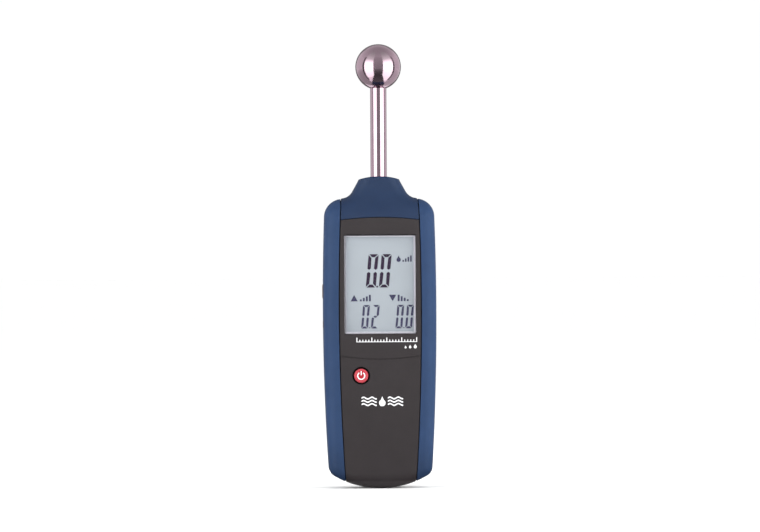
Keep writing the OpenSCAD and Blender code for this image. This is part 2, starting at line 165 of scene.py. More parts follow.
def meet_low(c1, r1, c2, r2):
    """Where two circles cross below the line between their centres."""
    dx, dz = c2[0] - c1[0], c2[1] - c1[1]
    d = math.hypot(dx, dz)
    ux, uz = dx / d, dz / d
    a = (r1 * r1 - r2 * r2 + d * d) / (2 * d)
    h = math.sqrt(r1 * r1 - a * a)
    return c1[0] + a * ux - h * uz, c1[1] + a * uz + h * ux


def side_x(z, inset=0.0):
    """Half width of the case at a height, less an inset."""
    return SIDE_C[0] + math.sqrt((SIDE_R - inset) ** 2 - (z - WIDEST_Z) ** 2)


def angle_between(centre, point):
    """Direction of a point from a centre, in degrees."""
    return math.degrees(math.atan2(point[1] - centre[1], point[0] - centre[0]))


BOTTOM_C = (0.0, BOTTOM_R)
SIDE_C = (CASE_W / 2 - SIDE_R, WIDEST_Z)
CORNER_C = meet_low(BOTTOM_C, BOTTOM_R - CORNER_R, SIDE_C, SIDE_R - CORNER_R)
SHOULDER_C = (side_x(SHOULDER_Z, SHOULDER_R), SHOULDER_Z)
SEAM = side_x(WIDEST_Z, GRIP_STRIP)


def outline():
    """Right half of the outline, from the bottom to the neck.

    Each row is x, z, outward x, outward z, and the radii of the front and back edges.
    """
    rows = []

    def run(centre, radius, a0, a1, steps, hollow, radii):
        for i in range(steps + 1):
            c, s = turn(a0 + (a1 - a0) * i / steps)
            x, z = centre[0] + radius * c, centre[1] + radius * s
            out = -1 if hollow else 1
            rows.append((x, z, out * c, out * s, *radii(x, z)))

    a1 = angle_between(BOTTOM_C, CORNER_C)
    a2 = angle_between(SIDE_C, CORNER_C)
    a3 = angle_between(SIDE_C, SHOULDER_C)
    run(BOTTOM_C, BOTTOM_R, -90, a1, 24, False, lambda x, z: (7 - 1.9 * smooth((x - 6) / 14), 5.0))
    run(CORNER_C, CORNER_R, a1, a2, 10, False, lambda x, z: (5.1, 5.0))
    run(SIDE_C, SIDE_R, a2, a3, 72, False, lambda x, z: (5.1 + 0.9 * smooth((z - 12) / 40),) * 2)
    run(SHOULDER_C, SHOULDER_R, a3, 80, 14, False, lambda x, z: (6.0, 6.0))
    run(FLARE_C, FLARE_R, 262, 180 + FLARE_TURN, 14, True, lambda x, z: (5.8, 5.8))
    dx, dz = NECK_HIGH[0] - NECK_LOW[0], NECK_HIGH[1] - NECK_LOW[1]
    d = math.hypot(dx, dz)
    for i in range(1, 9):
        t = i / 8 * 2.3
        rows.append((NECK_LOW[0] + dx * t, NECK_LOW[1] + dz * t, dz / d, -dx / d, 5.6, 5.6))
    kept = rows[:1]
    for r in rows[1:]:
        if math.hypot(r[0] - kept[-1][0], r[1] - kept[-1][1]) > 0.02:
            kept.append(r)
    return kept


def half_depth(z):
    """Half depth of the case at a height."""
    return BACK_Y - (BACK_Y - NECK_DEPTH) * smooth((z - TAPER_Z[0]) / (TAPER_Z[1] - TAPER_Z[0]))


def half_ring(row, side_inset, face_inset):
    """Points of one cross-section, from the front round the right side to the back."""
    x, z, nx, nz, front_r, back_r = row
    flat, roll, side = 8, 9, 3

    def rolled(radius, angle, facing):
        c, s = turn(angle)
        inset = side_inset + radius * (1 - s)
        px, pz = x - nx * inset, z - nz * inset
        return Vector((px, facing * (half_depth(pz) - face_inset - radius * (1 - c)), pz))

    front = [rolled(front_r - side_inset, 90 * k / roll, -1) for k in range(roll + 1)]
    back = [rolled(back_r - side_inset, 90 * k / roll, 1) for k in range(roll, -1, -1)]
    middle = [front[-1].lerp(back[0], k / side) for k in range(1, side)]
    to_front = [Vector((front[0].x * k / flat, front[0].y, front[0].z)) for k in range(flat)]
    to_back = [Vector((back[-1].x * k / flat, back[-1].y, back[-1].z)) for k in range(flat - 1, -1, -1)]
    return to_front + front + middle + back + to_back


def skin(bm, rings):
    """Fills the strips between neighbouring closed rings of points."""
    for low, high in zip(rings, rings[1:]):
        n = len(low)
        for k in range(n):
            bm.faces.new((low[k], low[(k + 1) % n], high[(k + 1) % n], high[k]))


def body_surface(side_inset=0.0, face_inset=0.0):
    """The whole outer surface of the case as one open mesh."""
    bm = bmesh.new()
    rings = []
    for row in outline():
        half = half_ring(row, side_inset, face_inset)
        left = [Vector((-p.x, p.y, p.z)) for p in half[-2:0:-1]]
        rings.append([bm.verts.new(p) for p in half + left])
    skin(bm, rings)
    bmesh.ops.remove_doubles(bm, verts=bm.verts, dist=0.002)
    loose = [f for f in bm.faces if f.calc_area() < 1e-7]
    bmesh.ops.delete(bm, geom=loose, context="FACES")
    bm.normal_update()
    probe = min(bm.faces, key=lambda f: (f.calc_center_median() - Vector((3, FRONT_Y, 80))).length)
    if probe.normal.y > 0:
        bmesh.ops.reverse_faces(bm, faces=bm.faces)
    return bm


def trim(bm, point, normal):
    """Cuts off what lies on the side that the normal points to."""
    bmesh.ops.bisect_plane(
        bm,
        geom=list(bm.verts) + list(bm.edges) + list(bm.faces),
        dist=1e-4,
        plane_co=point,
        plane_no=normal,
        clear_outer=True,
    )


def seam_scale(z):
    """Stretches X so that the seam beside a grip becomes a straight line."""
    return SEAM / side_x(z, GRIP_STRIP)


def trim_seams(bm, cuts):
    """Cuts along the seams. Each cut is an X and the side of it that goes."""
    for v in bm.verts:
        v.co.x *= seam_scale(v.co.z)
    for x, side in cuts:
        trim(bm, (x, 0, 0), (side, 0, 0))
    for v in bm.verts:
        v.co.x /= seam_scale(v.co.z)


def keep_band(bm, offset):
    """Keeps what lies between the two seams."""
    trim_seams(bm, [(side * (SEAM - offset), side) for side in (-1, 1)])


def keep_side(bm, side, offset):
    """Keeps what lies outside one seam."""
    trim_seams(bm, [(side * (SEAM + offset), -side)])


def arch(x, radius):
    """How far an arch has dropped at a distance x from its top."""
    return radius - math.sqrt(max(radius * radius - x * x, 0.0))


def trim_arched(bm, z, radius, up):
    """Cuts along an arch whose top is at height z, and drops what is above it, or below it."""
    for v in bm.verts:
        v.co.z += arch(v.co.x, radius)
    trim(bm, (0, 0, z), (0, 0, 1 if up else -1))
    for v in bm.verts:
        v.co.z -= arch(v.co.x, radius)


def edge_pairs(edges):
    """The two ends of each boundary edge, in the order in which its face runs."""
    pairs = []
    for e in edges:
        for loop in e.link_faces[0].loops:
            if loop.edge == e:
                pairs.append((loop.vert, loop.link_loop_next.vert))
    return pairs


def shell(bm, thickness, lip=LIP):
    """Gives an open surface a thickness on its inner side, and rounds its edges over."""
    bm.normal_update()
    normals = {v: v.normal.copy() for v in bm.verts}
    edges = [e for e in bm.edges if e.is_boundary]
    outward = {}
    for e in edges:
        f = e.link_faces[0]
        t = (e.verts[1].co - e.verts[0].co).cross(f.normal)
        if t.dot(f.calc_center_median() - e.verts[0].co) > 0:
            t.negate()
        t.normalize()
        for v in e.verts:
            outward.setdefault(v, []).append(t)
    for v, found in outward.items():
        t = sum(found, Vector())
        t -= normals[v] * t.dot(normals[v])
        t.normalize()
        outward[v] = t / max(0.6, t.dot(found[0]))
    faces = list(bm.faces)
    pairs = edge_pairs(edges)
    inner = {}
    for v in list(bm.verts):
        reach = outward[v] * lip if v in outward else Vector()
        inner[v] = bm.verts.new(v.co - normals[v] * thickness + reach)
    for f in faces:
        bm.faces.new([inner[v] for v in reversed(f.verts)])
    edge_rings = {}
    for v, t in outward.items():
        ring = [v]
        for angle in (30, 60, 90):
            c, s = turn(angle)
            ring.append(bm.verts.new(v.co + t * lip * s - normals[v] * lip * (1 - c)))
        edge_rings[v] = ring + [inner[v]]
    bridge(bm, edge_rings, pairs)
    bm.normal_update()
    return bm


def bridge(bm, columns, pairs):
    """Fills the strips between neighbouring columns of points."""
    for a, b in pairs:
        for k in range(len(columns[a]) - 1):
            bm.faces.new((columns[b][k], columns[a][k], columns[a][k + 1], columns[b][k + 1]))


# ---- mesh tools


def placed(name, data):
    """A new object in the scene."""
    obj = bpy.data.objects.new(name, data)
    bpy.context.scene.collection.objects.link(obj)
    return obj


def scratch(bm, name="scratch"):
    """An object made of a bmesh, for the modifiers to work on."""
    mesh = bpy.data.meshes.new(name)
    bm.to_mesh(mesh)
    bm.free()
    return placed(name, mesh)


def discard(obj):
    """Removes an object and its mesh."""
    mesh = obj.data
    bpy.data.objects.remove(obj)
    bpy.data.meshes.remove(mesh)


def baked(obj):
    """The object's mesh with its modifiers applied, as a bmesh. The object is removed."""
    graph = bpy.context.evaluated_depsgraph_get()
    bm = bmesh.new()
    bm.from_object(obj, graph)
    discard(obj)
    return bm


def carve(bm, cutters, operation="DIFFERENCE"):
    """Exact boolean of a bmesh with each cutter."""
    obj = scratch(bm)
    tools = [scratch(c, "cutter") for c in cutters]
    for tool in tools:
        modifier = obj.modifiers.new("cut", "BOOLEAN")
        modifier.operation = operation
        modifier.solver = "EXACT"
        modifier.object = tool
    bpy.context.view_layer.update()
    result = baked(obj)
    for tool in tools:
        discard(tool)
    return result


def joined(parts):
    """Several bmeshes as one."""
    whole = bmesh.new()
    for part in parts:
        mesh = bpy.data.meshes.new("part")
        part.to_mesh(mesh)
        part.free()
        whole.from_mesh(mesh)
        bpy.data.meshes.remove(mesh)
    return whole


def everywhere(_):
    """For soften, where every sharp edge is meant."""
    return True


def soften(bm, where, width):
    """Bevels the sharp edges whose ends both satisfy where."""
    bm.normal_update()
    chosen = []
    for e in bm.edges:
        if len(e.link_faces) == 2 and all(where(v.co) for v in e.verts):
            if e.calc_face_angle(0) > math.radians(40):
                chosen.append(e)
    shape = {"segments": 2, "profile": 0.5, "affect": "EDGES", "clamp_overlap": False}
    bmesh.ops.bevel(bm, geom=chosen, offset=width, **shape)
    return bm


def prism(points, y0, y1):
    """A closed solid: an outline in X and Z, given a depth from y0 to y1."""
    bm = bmesh.new()
    area = sum(a[0] * b[1] - b[0] * a[1] for a, b in zip(points, points[1:] + points[:1]))
    if area < 0:
        points = points[::-1]
    front = [bm.verts.new((x, y0, z)) for x, z in points]
    back = [bm.verts.new((x, y1, z)) for x, z in points]
    bm.faces.new(front)
    bm.faces.new(back[::-1])
    n = len(points)
    for k in range(n):
        bm.faces.new((front[k], back[k], back[(k + 1) % n], front[(k + 1) % n]))
    return bm


def rect(x, z, w, h):
    """Outline of a rectangle, from its lower left corner."""
    return [(x, z), (x + w, z), (x + w, z + h), (x, z + h)]


def box(low, high):
    x0, y0, z0 = low
    x1, y1, z1 = high
    return prism([(x0, z0), (x1, z0), (x1, z1), (x0, z1)], y0, y1)


def rounded(cx, cz, w, h, r, steps=6):
    """Outline of a rectangle with rounded corners."""
    points = []
    for sx, sz, start in ((1, 1, 0), (-1, 1, 90), (-1, -1, 180), (1, -1, 270)):
        for k in range(steps + 1):
            c, s = turn(start + 90 * k / steps)
            points.append((cx + sx * (w / 2 - r) + r * c, cz + sz * (h / 2 - r) + r * s))
    return points


def disc(cx, cz, r, steps=64):
    """Outline of a circle."""
    around = [turn(360 * k / steps) for k in range(steps)]
    return [(cx + r * c, cz + r * s) for c, s in around]


def lathe(profile, steps=96):
    """Turns a profile of (radius, height) about +Z. A radius of 0 closes the end."""
    bm = bmesh.new()
    around = [turn(360 * k / steps) for k in range(steps)]
    rings = []
    for r, z in profile:
        if r < 1e-6:
            rings.append([bm.verts.new((0, 0, z))])
        else:
            rings.append([bm.verts.new((r * c, r * s, z)) for c, s in around])
    for low, high in zip(rings, rings[1:]):
        for k in range(steps):
            a, b = low[k % len(low)], low[(k + 1) % len(low)]
            c, d = high[(k + 1) % len(high)], high[k % len(high)]
            corners = []
            for v in (a, b, c, d):
                if v not in corners:
                    corners.append(v)
            if len(corners) > 2:
                bm.faces.new(corners)
    bmesh.ops.recalc_face_normals(bm, faces=bm.faces)
    return bm


def laid(bm, place, axis="X"):
    """Tips a lathe's +Z over, about X to point out of the front or about Y to point to the right."""
    tip = Matrix.Rotation(math.pi / 2, 4, axis)
    bmesh.ops.transform(bm, matrix=Matrix.Translation(place) @ tip, verts=bm.verts)
    return bm


def stadium(z, half, radius, steps):
    """Outline in Y and Z of a side key: round ends, with centres half above and half below z."""
    points = []
    for start, end in ((0, 1), (180, -1)):
        for k in range(steps + 1):
            c, s = turn(start + 180 * k / steps)
            points.append((SIDE_KEY_Y + radius * c, z + end * half + radius * s))
    return points


def side_stadium(z, length, width, x0, x1):
    """A closed solid along X, with a side key's outline."""
    points = stadium(z, (length - width) / 2, width / 2, 10)
    bm = bmesh.new()
    low = [bm.verts.new((x0, py, pz)) for py, pz in points]
    high = [bm.verts.new((x1, py, pz)) for py, pz in points]
    bm.faces.new(low[::-1])
    bm.faces.new(high)
    skin(bm, [low, high])
    bmesh.ops.recalc_face_normals(bm, faces=bm.faces)
    return bm


def finished(name, bm, slot, body, replaced=(), sharp=38, materials=None, weighted=True):
    """Turns a bmesh in millimetres into a visible piece that rides on a body."""
    bmesh.ops.scale(bm, vec=(MM, MM, MM), verts=bm.verts)
    mesh = bpy.data.meshes.new(name)
    bm.to_mesh(mesh)
    bm.free()
    for polygon in mesh.polygons:
        polygon.use_smooth = True
    mesh.set_sharp_from_angle(angle=math.radians(sharp))
    obj = placed(name, mesh)
    for m in materials or [FINISH[slot]]:
        mesh.materials.append(m)
    if weighted:
        modifier = obj.modifiers.new("normals", "WEIGHTED_NORMAL")
        modifier.keep_sharp = True
        modifier.weight = 60
    if replaced:
        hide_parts(*replaced)
    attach(obj, body)
    return obj


# ---- materials


def linear(r, g, b):
    """A display colour, 0 to 255, as the linear colour that a shader takes."""
    parts = [c / 255 for c in (r, g, b)]
    return [c / 12.92 if c <= 0.04045 else ((c + 0.055) / 1.055) ** 2.4 for c in parts] + [1.0]


class Nodes:
    """A small helper that builds one procedural material."""

    def __init__(self, name):
        self.material = bpy.data.materials.new(name)
        self.material.use_nodes = True
        self.tree = self.material.node_tree
        self.shader = self.tree.nodes["Principled BSDF"]
        self.place = self.add("ShaderNodeTexCoord").outputs["Object"]

    def add(self, kind, **settings):
        node = self.tree.nodes.new(kind)
        for key, value in settings.items():
            setattr(node, key, value)
        return node

    def link(self, a, b):
        self.tree.links.new(a, b)

    def stretched(self, x, y, z):
        """The place on the piece, scaled differently along each axis."""
        node = self.add("ShaderNodeMapping")
        node.inputs["Scale"].default_value = (x, y, z)
        self.link(self.place, node.inputs["Vector"])
        return node.outputs["Vector"]

    def height(self):
        node = self.add("ShaderNodeSeparateXYZ")
        self.link(self.place, node.inputs["Vector"])
        return node.outputs["Z"]

    def cells(self, size, **settings):
        """The distance within cells that are about size millimetres wide."""
        node = self.add("ShaderNodeTexVoronoi", **settings)
        node.inputs["Scale"].default_value = 1 / (size * MM)
        self.link(self.place, node.inputs["Vector"])
        return node.outputs["Distance"]

    def noise(self, size, detail=2.0, rough=0.5, place=None):
        """Noise whose patches are about size millimetres."""
        node = self.add("ShaderNodeTexNoise")
        node.inputs["Scale"].default_value = 1 / (size * MM)
        node.inputs["Detail"].default_value = detail
        node.inputs["Roughness"].default_value = rough
        self.link(place or self.place, node.inputs["Vector"])
        return node.outputs["Fac"]

    def spread(self, value, low, high, from_low=0.3, from_high=0.7):
        node = self.add("ShaderNodeMapRange")
        node.inputs["From Min"].default_value = from_low
        node.inputs["From Max"].default_value = from_high
        node.inputs["To Min"].default_value = low
        node.inputs["To Max"].default_value = high
        self.link(value, node.inputs["Value"])
        return node.outputs["Result"]

    def mixed(self, fac, a, b):
        node = self.add("ShaderNodeMix", data_type="RGBA")
        self.link(fac, node.inputs["Factor"])
        for socket, value in (("A", a), ("B", b)):
            target = [s for s in node.inputs if s.name == socket and s.type == "RGBA"][0]
            if isinstance(value, list):
                target.default_value = value
            else:
                self.link(value, target)
        return [s for s in node.outputs if s.type == "RGBA"][0]

    def bump(self, height, strength, distance, below=None):
        node = self.add("ShaderNodeBump")
        node.inputs["Strength"].default_value = strength
        node.inputs["Distance"].default_value = distance * MM
        self.link(height, node.inputs["Height"])
        if below:
            self.link(below, node.inputs["Normal"])
        return node.outputs["Normal"]

    def set(self, **values):
        """Gives each named socket of the shader a value, or another node's output."""
        for key, value in values.items():
            target = self.shader.inputs[key.replace("_", " ")]
            if isinstance(value, bpy.types.NodeSocket):
                self.link(value, target)
            else:
                target.default_value = value


def scaled(color, k):
    """A colour made darker or lighter, at full opacity."""
    return [min(c * k, 1.0) for c in color[:3]] + [1.0]


def moulded(name, color, rough, grain, depth, mottle, specular=0.5, foot=None):
    """Moulded plastic or rubber: a fine grain, a cloudy colour and an uneven gloss.

    foot darkens the lower end as painted shade: its dark height, its plain height and a factor.
    """
    n = Nodes(name)
    cloud = n.noise(9, 3)
    speck = n.noise(grain * 2.2, 2)
    base = n.mixed(n.spread(cloud, 0, 1), scaled(color, 1 - mottle), scaled(color, 1 + mottle))
    # Painted shade: the colour darkens towards the lower end.
    if foot:
        height = n.spread(n.height(), 0, 1, foot[0] * MM, foot[1] * MM)
        base = n.mixed(height, scaled(color, foot[2]), base)
    tint = n.mixed(n.spread(speck, 0, 0.25), base, scaled(color, 1.35))
    n.set(Base_Color=tint)
    n.set(Roughness=n.spread(n.noise(5, 4), *rough))
    fine = n.bump(n.noise(grain, 3, 0.6), 0.5, depth)
    n.set(Normal=n.bump(n.noise(14, 1), 0.25, 0.05, below=fine))
    n.set(Specular_IOR_Level=specular)
    return n.material


def metal(name, color, rough):
    """Bright metal with fine lines turned around the Z axis."""
    n = Nodes(name)
    lines = n.noise(0.12, 2, 0.6, place=n.stretched(0.02, 0.02, 1))
    smudge = n.noise(6, 3)
    tint = n.mixed(n.spread(smudge, 0, 1), scaled(color, 0.96), scaled(color, 1.04))
    n.set(Base_Color=tint)
    n.set(Roughness=n.spread(smudge, *rough))
    n.set(Normal=n.bump(lines, 0.3, 0.003))
    n.set(Metallic=1.0)
    return n.material


def board_finish(name, color):
    """Green solder mask with copper tracks that show as a slight relief."""
    n = Nodes(name)
    edges = n.cells(2.4, feature="DISTANCE_TO_EDGE", distance="MANHATTAN")
    tracks = n.spread(edges, 1, 0, 0.04, 0.1)
    n.set(Base_Color=n.mixed(tracks, color, scaled(color, 1.6)))
    n.set(Roughness=n.spread(n.noise(3, 3), 0.25, 0.4))
    n.set(Normal=n.bump(tracks, 0.5, 0.03))
    return n.material


def striped(name, color, other, pitch):
    """Thin layers of two colours across X."""
    n = Nodes(name)
    wave = n.add("ShaderNodeTexWave", bands_direction="X")
    wave.inputs["Scale"].default_value = 1 / (pitch * MM)
    n.link(n.place, wave.inputs["Vector"])
    n.set(Base_Color=n.mixed(wave.outputs["Fac"], color, linear(*other)))
    n.set(Roughness=n.spread(n.noise(2, 3), 0.4, 0.55))
    n.set(Normal=n.bump(wave.outputs["Fac"], 0.3, 0.03))
    return n.material


def jacket(name, color):
    """A battery's printed metal jacket: a dark upper part, a pale band and a worn sheen, with no print."""
    n = Nodes(name)
    band = n.spread(n.height(), 0, 1, 17.9 * MM, 18.1 * MM)
    rubbed = n.spread(n.noise(3, 5, 0.7), 0, 0.35, 0.55, 0.8)
    pale = linear(176, 178, 182)
    n.set(Base_Color=n.mixed(rubbed, n.mixed(band, pale, color), linear(120, 120, 124)))
    n.set(Roughness=n.spread(n.noise(4, 4), 0.22, 0.42))
    n.set(Normal=n.bump(n.noise(7, 2), 0.2, 0.06))
    n.set(Metallic=0.55)
    return n.material


def foam(name, color):
    """Closed-cell foam: small round cells with thin bright walls."""
    n = Nodes(name)
    walls = n.spread(n.cells(0.55, feature="F1"), 0, 1, 0.2, 0.6)
    n.set(Base_Color=n.mixed(walls, scaled(color, 0.6), scaled(color, 1.5)))
    n.set(Normal=n.bump(walls, 0.8, 0.15))
    n.set(Roughness=0.95)
    return n.material


def reflector(name, color):
    """The silver-grey back of the display: a faint sparkle and slow shading."""
    n = Nodes(name)
    slow = n.spread(n.noise(22, 1), 0, 1)
    fine = n.spread(n.noise(0.16, 2), 0, 0.5)
    base = n.mixed(slow, scaled(color, 0.95), scaled(color, 1.04))
    n.set(Base_Color=n.mixed(fine, base, scaled(color, 1.08)))
    n.set(Roughness=n.spread(n.noise(0.3, 3), 0.42, 0.58))
    n.set(Normal=n.bump(n.noise(0.2, 2), 0.15, 0.01))
    n.set(Coat_Weight=0.3, Coat_Roughness=0.12)
    return n.material


def clear(name):
    """The clear lens, with a hard coat that has a few faint scuffs."""
    n = Nodes(name)
    n.set(Roughness=n.spread(n.noise(3, 6, 0.75), 0.03, 0.12, 0.5, 0.85))
    n.set(Normal=n.bump(n.noise(18, 1), 0.08, 0.05))
    n.set(Base_Color=(0.01, 0.012, 0.015, 1.0), Alpha=0.09, IOR=1.45)
    return n.material


# The steel's pink tint is painted reflection colour, standing in for pinkish surroundings reflected in it;
# bare steel is neutral grey.
STEEL = (175, 150, 163)

# Each slot's maker and display colour, and the rest of what the maker takes
RECIPES = {
    "dark_case": (moulded, (36, 31, 33), (0.5, 0.62), 0.22, 0.02, 0.06, 0.2),
    "blue_nose": (moulded, (22, 37, 62), (0.42, 0.52), 0.2, 0.016, 0.05, 0.16),
    # The grips' last entry darkens their lower ends as painted shade.
    "blue_grip": (moulded, (30, 49, 79), (0.46, 0.6), 0.3, 0.02, 0.06, 0.13, (3, 24, 0.52)),
    "light_frame": (moulded, (178, 176, 186), (0.4, 0.5), 0.3, 0.01, 0.03),
    "lcd_glass": (reflector, (154, 161, 168)),
    "light_guide": (moulded, (236, 238, 232), (0.2, 0.3), 0.6, 0.02, 0.02),
    "contact_rubber": (striped, (226, 130, 142), (60, 50, 56), 0.3),
    "red_key": (moulded, (140, 16, 28), (0.42, 0.55), 0.2, 0.012, 0.06, 0.2),
    "side_key": (moulded, (58, 45, 42), (0.5, 0.65), 0.25, 0.02, 0.08, 0.3),
    "probe_steel": (metal, STEEL, (0.08, 0.14)),
    "bush_plastic": (moulded, (236, 232, 220), (0.35, 0.5), 0.4, 0.02, 0.03),
    "plated_steel": (metal, (200, 200, 204), (0.15, 0.3)),
    "tinned_brass": (metal, (214, 200, 160), (0.2, 0.35)),
    "wire_white": (moulded, (222, 222, 226), (0.35, 0.5), 0.4, 0.02, 0.05),
    "wire_red": (moulded, (186, 28, 28), (0.3, 0.45), 0.4, 0.02, 0.06),
    "wire_black": (moulded, (26, 26, 27), (0.3, 0.45), 0.4, 0.02, 0.1),
    "board_green": (board_finish, (24, 92, 54)),
    "chip_black": (moulded, (32, 32, 34), (0.45, 0.6), 0.15, 0.015, 0.1),
    "capacitor_sleeve": (moulded, (34, 42, 84), (0.2, 0.32), 0.6, 0.01, 0.08),
    "battery_jacket": (jacket, (40, 42, 50)),
    "foam_grey": (foam, (70, 70, 74)),
    "screw_black": (metal, (60, 60, 64), (0.3, 0.45)),
}
FINISH = {}
for slot_name, (make, color, *rest) in RECIPES.items():
    FINISH[slot_name] = make(slot_name + "_finish", linear(*color), *rest)
FINISH["clear_window"] = clear("clear_window_finish")

INK = moulded("display_ink", linear(48, 34, 54), (0.3, 0.4), 0.4, 0.01, 0.08, 0.15)
FAINT_INK = moulded("display_symbol_ink", linear(58, 56, 82), (0.3, 0.4), 0.4, 0.01, 0.08, 0.15)
PRINT = moulded("white_print", linear(205, 205, 207), (0.45, 0.6), 0.2, 0.01, 0.03)
RED_RIM = moulded("red_rim_finish", linear(156, 50, 60), (0.42, 0.55), 0.2, 0.012, 0.05, 0.2)
ROD_STEEL = metal("rod_steel_finish", linear(*STEEL), (0.05, 0.09))
# Near-black painted shade, for the gap round the power key and the shadow under the window's top edge.
PAINTED_SHADE = moulded("painted_shade_black", linear(16, 13, 14), (0.5, 0.6), 0.3, 0.01, 0.08, 0.15)

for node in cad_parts.values():
    for material_slot in node.material_slots:
        material_slot.material = FINISH[material_slot.material.name.split(".")[0]]
    for polygon in node.data.polygons:
        polygon.use_smooth = True
    node.data.set_sharp_from_angle(angle=math.radians(30))


# ---- case shells


def keys_on(side):
    """Height and length of each key on one side."""
    return [(z, length) for z, length, _, key_side, _ in SIDE_KEYS.values() if key_side == side]


def key_holes(side):
    """Cutters for the side keys' holes on one side."""
    width = SIDE_KEY_W + 2 * KEY_GAP
    reach = (side * 20, side * 40)
    return [side_stadium(z, length + 2 * KEY_GAP, width, *reach) for z, length in keys_on(side)]


def core_side(side, front):
    """The hard wall under a grip, in front of or behind the joint between the shells."""
    clear = 0.05
    bm = body_surface(GRIP_SIDE + clear, GRIP_FACE + clear)
    keep_side(bm, side, -0.5)
    facing = 1 if front else -1
    trim(bm, (0, JOINT_Y - facing * clear, 0), (0, facing, 0))
    trim(bm, (0, 0, SHOULDER_Z + 8.5), (0, 0, 1))
    bm = shell(bm, WALL, clear)
    return carve(bm, key_holes(side)) if front else bm


def main_shell(facing):
    """The front shell without its openings, or the rear shell with a facing of -1."""
    bm = body_surface()
    keep_band(bm, EDGE)
    trim_arched(bm, BORDER_Z - BORDER_EDGE, BORDER_R, True)
    trim(bm, (0, JOINT_Y - facing * (JOINT_GAP + LIP), 0), (0, facing, 0))
    return shell(bm, WALL)


def groove_side(radius, start, end):
    """One edge of the groove, between two angles from straight down."""
    step = 1 if end > start else -1
    around = [turn(angle) for angle in range(start, end + step, step)]
    return [(radius * s, GROOVE_CENTRE_Z - radius * c) for c, s in around]


def front_shell():
    bm = main_shell(1)
    window = prism(rounded(0, WINDOW_Z, WINDOW_W, WINDOW_H, 0.8), FRONT_Y - 2, INNER_FRONT_Y + 2)
    key_hole = prism(disc(*POWER, POWER_HOLE_R), FRONT_Y - 2, INNER_FRONT_Y + 2)
    bm = carve(bm, [window, key_hole])
    soften(bm, lambda p: p.y < FRONT_Y + 0.01 and abs(p.x) < 19.4 and 54 < p.z < 134.6, 0.28)
    outer = groove_side(GROOVE_R + GROOVE_HALF_W, -GROOVE_TURN, GROOVE_TURN)
    inner = groove_side(GROOVE_R - GROOVE_HALF_W, GROOVE_TURN, -GROOVE_TURN)
    bm = carve(bm, [prism(outer + inner, FRONT_Y - 2, FRONT_Y + GROOVE_DEPTH)])
    return joined([bm, core_side(-1, True), core_side(1, True)])


def screw_boss(x, z):
    """The post that a case screw runs through, closed under the screw's head."""
    tube = [(0, -JOINT_Y), (BOSS_R, -JOINT_Y), (BOSS_R, -BOSS_END_Y)]
    seat = [(COUNTERBORE_R, -BOSS_END_Y), (COUNTERBORE_R, -SCREW_SEAT_Y), (0, -SCREW_SEAT_Y)]
    return laid(lathe(tube + seat, 40), (x, 0, z))


def rear_shell():
    bm = main_shell(-1)
    half = DOOR_W / 2 + 0.3
    opening = box((-half, INNER_BACK_Y - 3, -1), (half, 30, DOOR_TOP_Z + 0.3))
    low_wall = box((-half - 2, INNER_BACK_Y - 3.2, -2), (half + 2, DOOR_Y - 0.1, 7))
    opening = carve(opening, [low_wall])
    places = [(x, z) for x in (-BOSS_X, BOSS_X) for z in BOSS_Z]
    bores = [prism(disc(x, z, COUNTERBORE_R, 40), INNER_BACK_Y - 3, 30) for x, z in places]
    bm = carve(bm, [opening, *bores])
    soften(bm, lambda p: p.y > BACK_Y - 0.01, 0.25)
    extras = [screw_boss(x, z) for x, z in places]
    for side in (-1, 1):
        x0, x1 = sorted((side * RAIL_X[0], side * RAIL_X[1]))
        rail = box((x0, INNER_BACK_Y - 1.4, 6), (x1, INNER_BACK_Y - 0.02, DOOR_TOP_Z + 1.6))
        extras.append(soften(rail, everywhere, 0.25))
    wall = box((-22.6, JOINT_Y, DOOR_TOP_Z + 1), (22.6, INNER_BACK_Y + 0.2, DOOR_TOP_Z + 2.4))
    notch = box((-6, -5, DOOR_TOP_Z), (6, 5, DOOR_TOP_Z + 3))
    extras.append(soften(carve(wall, [notch]), everywhere, 0.2))
    return joined([bm, *extras, core_side(-1, False), core_side(1, False)])


def nose_shell():
    """The nose, whose rounded brow runs into a dome with a hole for the rod."""
    bm = body_surface()
    keep_band(bm, EDGE)
    trim_arched(bm, BORDER_Z + BORDER_EDGE, BORDER_R, False)
    trim_arched(bm, NOSE_TOP_Z - BROW, DOME_R, True)
    bm.normal_update()
    top = [e for e in bm.edges if e.is_boundary and min(v.co.z for v in e.verts) > 160]
    pairs = edge_pairs(top)
    rim = {v for pair in pairs for v in pair}
    columns = {}
    for v in rim:
        side = Vector((v.normal.x, v.normal.y, 0)).normalized()
        column = [v]
        for angle in (18, 36, 54, 72, 90):
            c, s = turn(angle)
            p = v.co + Vector((0, 0, BROW * s)) - side * BROW * (1 - c)
            column.append(bm.verts.new(p))
        edge = column[-1].co.copy()
        flat = Vector((edge.x, edge.y, 0))
        hole = flat.normalized() * (ROD_R + 0.22)
        for t in (0.25, 0.5, 0.75, 0.93):
            p = flat.lerp(hole, t)
            miss = edge.z - NOSE_TOP_Z + arch(edge.x, DOME_R)
            p.z = NOSE_TOP_Z - arch(p.x, DOME_R) + miss * (1 - t)
            column.append(bm.verts.new(p))
        drop = NOSE_TOP_Z - arch(hole.x, DOME_R)
        lead = flat.normalized() * (ROD_R + 0.08)
        for p, z in ((hole, drop - 0.02), (lead, drop - 0.2), (lead, drop - 6)):
            column.append(bm.verts.new((p.x, p.y, z)))
        columns[v] = column
    bridge(bm, columns, pairs)
    return shell(bm, NOSE_WALL)


def grip_skin(side):
    bm = body_surface()
    keep_side(bm, side, EDGE)
    bm = shell(bm, GRIP_SIDE)
    bm = carve(bm, key_holes(side))

    def at_hole(p):
        on_edge = abs(p.x) > side_x(p.z) - 0.05 and abs(p.y - SIDE_KEY_Y) < 2.5
        return on_edge and any(abs(p.z - z) < length / 2 + 0.5 for z, length in keys_on(side))

    return soften(bm, at_hole, 0.22)


